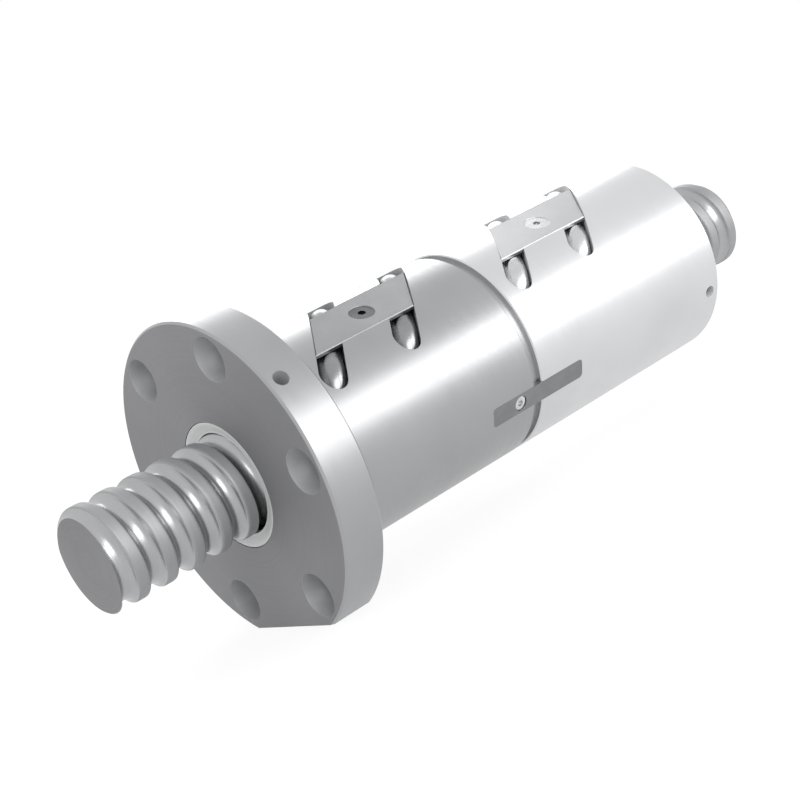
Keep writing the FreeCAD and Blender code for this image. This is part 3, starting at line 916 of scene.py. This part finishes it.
@dataclass
class DoubleNut:
    """Both nuts with their spacer, key, tubes, clamps, wipers and small screws.

    Lengths are in millimetres. The facing values are shares of a face's normal: `end_facing` for an
    end plane, `flat_facing` for the flange's face and flat, and `outward_facing` for a round outside.
    """

    track: BallTrack
    flange_front_x: float = -18.0
    nut_offset_leads: int = 8
    circuit_offset_leads: int = 3
    bore_limit_r: float = 27.0
    end_planes: tuple[float, ...] = (-18.0, 0.0, 99.4, 103.4, 213.2)
    flange_radii: tuple[float, ...] = (64.0, 63.6)
    body_radii: tuple[float, ...] = (43.0, 42.75, 42.5)
    spacer_radii: tuple[float, ...] = (41.0, 26.0)
    wiper_radii: tuple[float, ...] = (25.0, 24.8, 20.35, 20.8, 21.25)
    end_facing: float = 0.99
    flat_facing: float = 0.999
    outward_facing: float = 0.6
    plane_slack: float = 0.05
    front_slack: float = 0.01
    radius_slack: float = 0.4

    def milled(self, face: bpy.types.MeshPolygon) -> bool:
        """Whether a nut's face was milled or drilled, and not turned or ground from outside.

        Args:
            face: Face of either nut.

        Returns:
            True inside pockets, counterbores, keyways and ports. The bore and the flange's flat are
            left out.
        """
        x, radius = face.center.x / MM, math.hypot(face.center.y, face.center.z) / MM
        if radius < self.bore_limit_r or face.normal.z < -self.flat_facing:
            return False
        if abs(face.normal.x) > self.end_facing:
            return all(abs(x - end) > self.plane_slack for end in self.end_planes)
        outwards = (face.normal.y * face.center.y + face.normal.z * face.center.z) / MM / radius
        outer = self.flange_radii if x < 0 else self.body_radii
        return outwards < self.outward_facing or min(abs(radius - r) for r in outer) > self.radius_slack

    def build_nuts(self) -> None:
        """Dress both nuts, with their turned face and their milled pockets."""
        radii = self.flange_radii + self.body_radii
        # The front nut's ground steel is painted darker: painted shade.
        nut = dress_node("front_nut", "flanged_nut", Body.NUTS, GROUND_FRONT_PAINTED_SHADE.build(), radii)
        for finish in (TURNED_FACE, MILLED_FRONT_PAINTED_LIGHT):
            nut.data.materials.append(finish.build())
        face_x = (self.flange_front_x + self.front_slack) * MM
        for face in nut.data.polygons:
            if face.normal.x < -self.flat_facing and face.center.x < face_x:
                face.material_index = 1
            # Milled faces take the finish that is painted light, lifting the shade in pockets and
            # counterbores.
            elif self.milled(face):
                face.material_index = 2
        # The rear nut's ground steel is painted lighter: painted light.
        nut = dress_node(
            "rear_nut", "plain_nut", Body.NUTS, GROUND_REAR_PAINTED_LIGHT.build(), self.body_radii
        )
        # The rear nut's milled faces take the finish painted paler still: painted light.
        nut.data.materials.append(MILLED_REAR_PAINTED_LIGHT.build())
        for face in nut.data.polygons:
            if self.milled(face):
                face.material_index = 1

    def build_joint(self) -> None:
        """Dress the spacer, the key and its screw."""
        spacer = SPACER_STEEL.build()
        for half in ("upper", "lower"):
            node = f"spacer_half_{half}"
            dress_node(node, f"spacer_{half}", Body.NUTS, spacer, self.spacer_radii)
        dress_node("alignment_key", "key", Body.NUTS, KEY_STEEL.build())
        dress_node("key_screw", "key_cap_screw", Body.NUTS, PLATED.build())

    def build_pockets(self) -> None:
        """Dress the tubes, their clamps, the clamp screws and the grub screws."""
        black = BLACKENED.build()
        # The front plate and tubes take the finishes painted with shade, the rear ones those painted with
        # light.
        for nut, plate_finish, tube_finish, screw in (
            ("front", STAMPED_FRONT_PAINTED_SHADE, TUBE_FRONT_PAINTED_SHADE, black),
            ("rear", STAMPED_REAR_PAINTED_LIGHT, TUBE_REAR_PAINTED_LIGHT, PLATED.build()),
        ):
            plate, tube = plate_finish.build(), tube_finish.build()
            dress_node(f"{nut}_tube_clamp", f"{nut}_clamp_plate", Body.NUTS, plate)
            dress_node(f"{nut}_clamp_screw", f"{nut}_plate_screw", Body.NUTS, screw)
            for place in (1, 2):
                node = f"{nut}_return_tube_{place}"
                dress_node(node, f"{nut}_tube_{place}", Body.NUTS, tube)
        for place in (1, 2):
            node = f"rear_wiper_grub_screw_{place}"
            dress_node(node, f"wiper_grub_{place}", Body.NUTS, black)

    def build_balls(self) -> None:
        """Fill the four circuits with balls."""
        tree, material = BallCircuit.tree(), LAPPED_BALL.build()
        path = ReturnPath(self.track)
        for nut_index, nut in enumerate(("front", "rear")):
            for index in range(2):
                leads = nut_index * self.nut_offset_leads + index * self.circuit_offset_leads
                circuit = BallCircuit(self.track, path, self.track.first_leg_x + leads * self.track.lead)
                circuit.build(f"{nut}_ball_circuit_{index + 1}", tree, material)

    def build_wipers(self) -> None:
        """Dress the two wiper rings."""
        polymer = WIPER_POLYMER.build()
        for nut in ("front", "rear"):
            node, name = f"{nut}_wiper", f"{nut}_wiper_ring"
            dress_node(node, name, Body.WIPERS, polymer, self.wiper_radii)

    def build(self) -> None:
        """Make every piece of the double nut."""
        self.build_nuts()
        self.build_joint()
        self.build_pockets()
        self.build_balls()
        self.build_wipers()


def white_rays(tree: bpy.types.NodeTree) -> bpy.types.NodeSocket:
    """Tell the rays that have to see a white background from the rest.

    Args:
        tree: Node tree of the floor or the world.

    Returns:
        Socket that is 1 for camera, glossy and transmission rays, and 0 for the rest.
    """
    ray = add_node(tree, "ShaderNodeLightPath").outputs
    seen = maths(tree, "MAXIMUM", ray["Is Camera Ray"], ray["Is Glossy Ray"])
    return maths(tree, "MAXIMUM", seen, ray["Is Transmission Ray"])


@dataclass
class SoftBox:
    """A lamp behind diffusing cloth, aimed at a point."""

    name: str
    place: tuple[float, float, float]
    size: tuple[float, float]
    watts: float
    aim: tuple[float, float, float] = (0.09, 0.0, 0.0)

    def build(self) -> None:
        """Make the lamp."""
        lamp = bpy.data.lights.new(self.name, "AREA")
        lamp.shape = "RECTANGLE"
        lamp.size, lamp.size_y = self.size
        lamp.energy = self.watts
        thing = bpy.data.objects.new(self.name, lamp)
        thing.location = self.place
        away = Vector(self.place) - Vector(self.aim)
        thing.rotation_mode = "QUATERNION"
        thing.rotation_quaternion = away.to_track_quat("Z", "Y")
        thing.visible_camera = False
        bpy.context.scene.collection.objects.link(thing)


@dataclass
class Studio:
    """White sweep, lamps and the camera at the photograph's angle.

    The floor is pale paper. `floor_lift` is the share of plain white in it that the camera sees, and
    `floor_lift_reflected` the share in its reflections. The key softbox draws the bright band on the
    camera's side of the nuts, the back softbox the one on top, and the front softbox lights the screw.
    """

    floor_z: float = -0.0577
    floor_half: float = 6.0
    floor_colour: str = "#E6E6E6"
    floor_white: float = 1.08
    floor_lift: float = 0.8
    floor_lift_reflected: float = 0.62
    fill: float = 1.0
    camera_place: tuple[float, float, float] = (-0.3077, -0.5494, 0.0858)
    camera_right: tuple[float, float, float] = (0.72440, -0.55861, -0.40399)
    camera_up: tuple[float, float, float] = (0.40532, -0.12891, 0.90504)
    camera_clip: tuple[float, float] = (0.01, 50.0)
    lens_mm: float = 77.26
    sensor_mm: float = 36.0
    boxes: list[SoftBox] = field(default_factory=lambda: [
        SoftBox("key_softbox", (0.75, -0.80, 0.10), (0.55, 0.60), 3.4),
        SoftBox("back_softbox", (0.66, 0.70, 0.58), (0.7, 0.5), 2.8),
        SoftBox("front_softbox", (0.02, -1.05, 0.24), (0.9, 0.6), 5.5),
    ])

    def build_camera(self) -> None:
        """Place the camera."""
        camera = bpy.data.cameras.new("camera")
        camera.lens = self.lens_mm
        camera.sensor_width = self.sensor_mm
        camera.clip_start, camera.clip_end = self.camera_clip
        thing = bpy.data.objects.new("camera", camera)
        right, up = Vector(self.camera_right).normalized(), Vector(self.camera_up).normalized()
        back = right.cross(up).normalized()
        turn = Matrix((right, back.cross(right), back)).transposed()
        thing.matrix_world = Matrix.Translation(self.camera_place) @ turn.to_4x4()
        bpy.context.scene.collection.objects.link(thing)
        bpy.context.scene.camera = thing

    def build_floor(self) -> None:
        """Pale floor that the camera sees nearly white, with the object's shadow kept."""
        half = self.floor_half
        mesh = bpy.data.meshes.new("floor")
        corners = [(half * x, half * y, self.floor_z) for x, y in ((-1, -1), (1, -1), (1, 1), (-1, 1))]
        mesh.from_pydata(corners, [], [(0, 1, 2, 3)])
        floor = bpy.data.objects.new("floor", mesh)
        bpy.context.scene.collection.objects.link(floor)
        material, tree, shader = new_material("paper_sweep_white")
        tree.nodes.remove(shader)
        paper = add_node(tree, "ShaderNodeBsdfDiffuse", inputs={"Color": linear(self.floor_colour)})
        white = add_node(tree, "ShaderNodeEmission", inputs={"Color": WHITE, "Strength": self.floor_white})
        seen = add_node(tree, "ShaderNodeLightPath").outputs["Is Camera Ray"]
        lifted = add_node(
            tree, "ShaderNodeMapRange",
            inputs={"Value": seen, "To Min": self.floor_lift_reflected, "To Max": self.floor_lift},
        )
        share = maths(tree, "MULTIPLY", white_rays(tree), lifted.outputs[0])
        mixed = add_node(
            tree, "ShaderNodeMixShader", inputs={0: share, 1: paper.outputs[0], 2: white.outputs[0]}
        )
        tree.links.new(mixed.outputs[0], tree.nodes["Material Output"].inputs["Surface"])
        mesh.materials.append(material)

    def build_world(self) -> None:
        """White surroundings for the camera and for reflections, and a plain fill light."""
        world = bpy.data.worlds.new("studio")
        bpy.context.scene.world = world
        world.use_nodes = True
        tree = world.node_tree
        strength = add_node(
            tree, "ShaderNodeMapRange", inputs={"Value": white_rays(tree), "To Min": self.fill}
        )
        background = tree.nodes["Background"]
        background.inputs["Color"].default_value = WHITE
        tree.links.new(strength.outputs[0], background.inputs["Strength"])

    def build(self) -> None:
        """Make the whole studio."""
        self.build_camera()
        self.build_floor()
        self.build_world()
        for box in self.boxes:
            box.build()
        bpy.context.scene.view_settings.view_transform = "Standard"


def main() -> None:
    """Build the studio and the ball screw, in order."""
    logging.basicConfig(level=logging.INFO)
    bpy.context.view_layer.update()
    Studio().build()
    track = BallTrack()
    ScrewShaft(track).build()
    DoubleNut(track).build()


if __name__ == "__main__":
    main()
